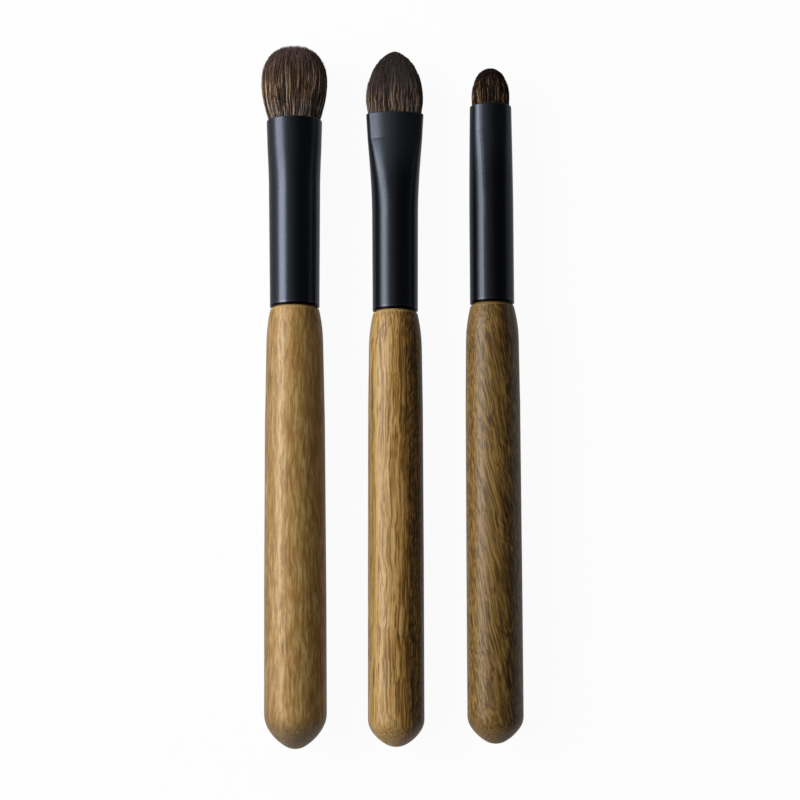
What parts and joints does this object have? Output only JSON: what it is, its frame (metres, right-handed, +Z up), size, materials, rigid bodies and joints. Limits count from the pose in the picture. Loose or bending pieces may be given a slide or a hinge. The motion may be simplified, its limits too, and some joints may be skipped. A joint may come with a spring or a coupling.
{
  "type": "eyeshadow brush set",
  "caption": "Eyeshadow brushes with turned wooden handles, black pressed metal ferrules and soft hair heads of different shapes, laid side by side.",
  "frame": {"origin": "on the table under the middle of the three brushes laid side by side", "axes": "+Z up from the table, +Y along the brushes towards the hair, +X to the right from the round brush to the pencil brush"},
  "size_m": [0.0505, 0.136, 0.0118],
  "materials": {
    "round_wood": "satin",
    "pointed_wood": "satin",
    "pencil_wood": "satin",
    "ferrule_black": "black satin coating",
    "hair": "soft dark brown hair",
    "thread": "cotton thread",
    "resin": "cured resin",
    "adhesive": "cured adhesive"
  },
  "bodies": {
    "round_brush": {"round_handle": "round_wood", "round_ferrule": "ferrule_black", "round_hair_root": "hair", "round_binding_thread": "thread", "round_root_glue": "resin", "round_tenon_glue": "adhesive"},
    "round_hair": {"round_hair_tuft": "hair"},
    "pointed_brush": {"pointed_handle": "pointed_wood", "pointed_ferrule": "ferrule_black", "pointed_hair_root": "hair", "pointed_binding_thread": "thread", "pointed_root_glue": "resin", "pointed_tenon_glue": "adhesive"},
    "pointed_hair": {"pointed_hair_tuft": "hair"},
    "pencil_brush": {"pencil_handle": "pencil_wood", "pencil_ferrule": "ferrule_black", "pencil_hair_root": "hair", "pencil_binding_thread": "thread", "pencil_root_glue": "resin", "pencil_tenon_glue": "adhesive"},
    "pencil_hair": {"pencil_hair_tuft": "hair"}
  },
  "joints": [
    {"name": "round_lift", "type": "slide", "parent": "pointed_brush", "child": "round_brush", "axis": [0, 0, 1], "range_m": [0, 0.15]},
    {"name": "pencil_lift", "type": "slide", "parent": "pointed_brush", "child": "pencil_brush", "axis": [0, 0, 1], "range_m": [0, 0.15]},
    {"name": "round_hair_flex", "type": "hinge", "parent": "round_brush", "child": "round_hair", "pos_m": [-0.01873, 0.05402, 0.0059], "axis": [1, 0.0087, 0], "range_deg": [-20, 20], "stiffness_Nm_per_rad": 0.004},
    {"name": "pointed_hair_flex", "type": "hinge", "parent": "pointed_brush", "child": "pointed_hair", "pos_m": [0.00093, 0.05464, 0.00533], "axis": [1, 0.0026, 0], "range_deg": [-20, 20], "stiffness_Nm_per_rad": 0.005},
    {"name": "pencil_hair_flex", "type": "hinge", "parent": "pencil_brush", "child": "pencil_hair", "pos_m": [0.0197, 0.05662, 0.0053], "axis": [1, 0.0021, 0], "range_deg": [-20, 20], "stiffness_Nm_per_rad": 0.008}
  ]
}
